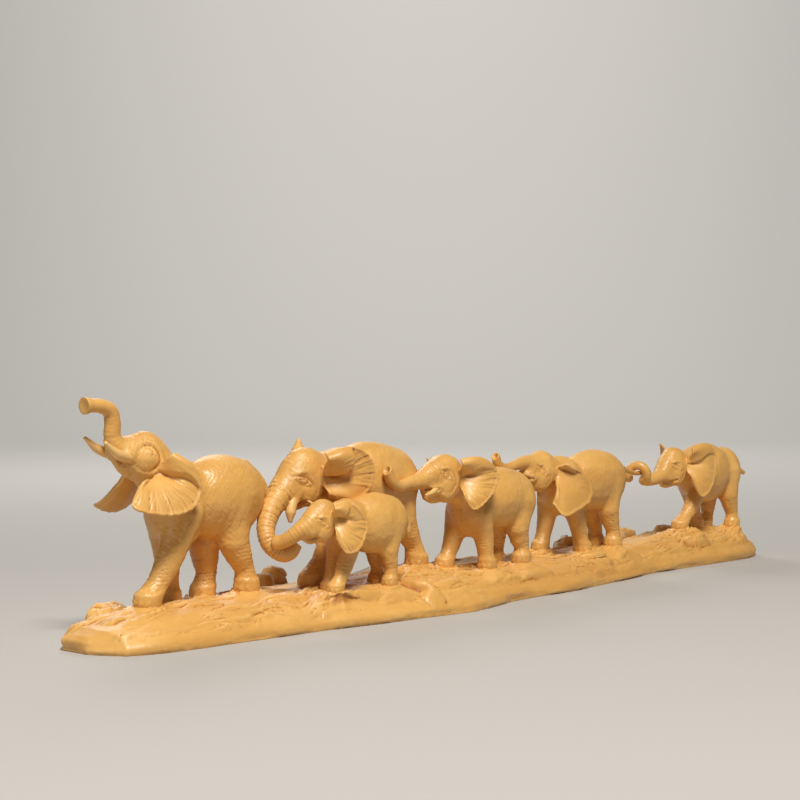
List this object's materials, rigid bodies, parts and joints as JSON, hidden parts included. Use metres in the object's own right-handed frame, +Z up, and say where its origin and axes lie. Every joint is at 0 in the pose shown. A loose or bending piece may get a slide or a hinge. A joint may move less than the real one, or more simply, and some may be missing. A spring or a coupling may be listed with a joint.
{
  "type": "carved wooden elephant herd figurine",
  "caption": "Boxwood carving of elephants walking trunk to tail in line along one long, low piece of rough ground.",
  "frame": {"origin": "middle of the ground's flat underside", "axes": "+X along the row, from the leader to the last animal; +Z up; the animals' left sides face -Y"},
  "size_m": [0.54, 0.0959, 0.1087],
  "materials": {
    "boxwood": "hand-carved, waxed to a low gloss",
    "pale_boxwood": "smooth, waxed",
    "dowel_wood": "plain, unfinished"
  },
  "bodies": {
    "root": {"calf_dowel_front_left": "dowel_wood", "calf_dowel_hind_right": "dowel_wood", "elephant_calf": "boxwood", "elephant_fourth": "boxwood", "elephant_last": "boxwood", "elephant_leader": "boxwood", "elephant_mother": "boxwood", "elephant_third": "boxwood", "fourth_dowel_front_left": "dowel_wood", "fourth_dowel_hind_right": "dowel_wood", "ground_base": "boxwood", "last_dowel_front_left": "dowel_wood", "last_dowel_hind_right": "dowel_wood", "leader_dowel_front_left": "dowel_wood", "leader_dowel_hind_right": "dowel_wood", "leader_tusk_left": "pale_boxwood", "leader_tusk_right": "pale_boxwood", "mother_dowel_front_left": "dowel_wood", "mother_dowel_hind_right": "dowel_wood", "mother_tusk_left": "pale_boxwood", "mother_tusk_right": "pale_boxwood", "third_dowel_front_left": "dowel_wood", "third_dowel_hind_right": "dowel_wood", "third_tusk_left": "pale_boxwood"}
  },
  "joints": []
}
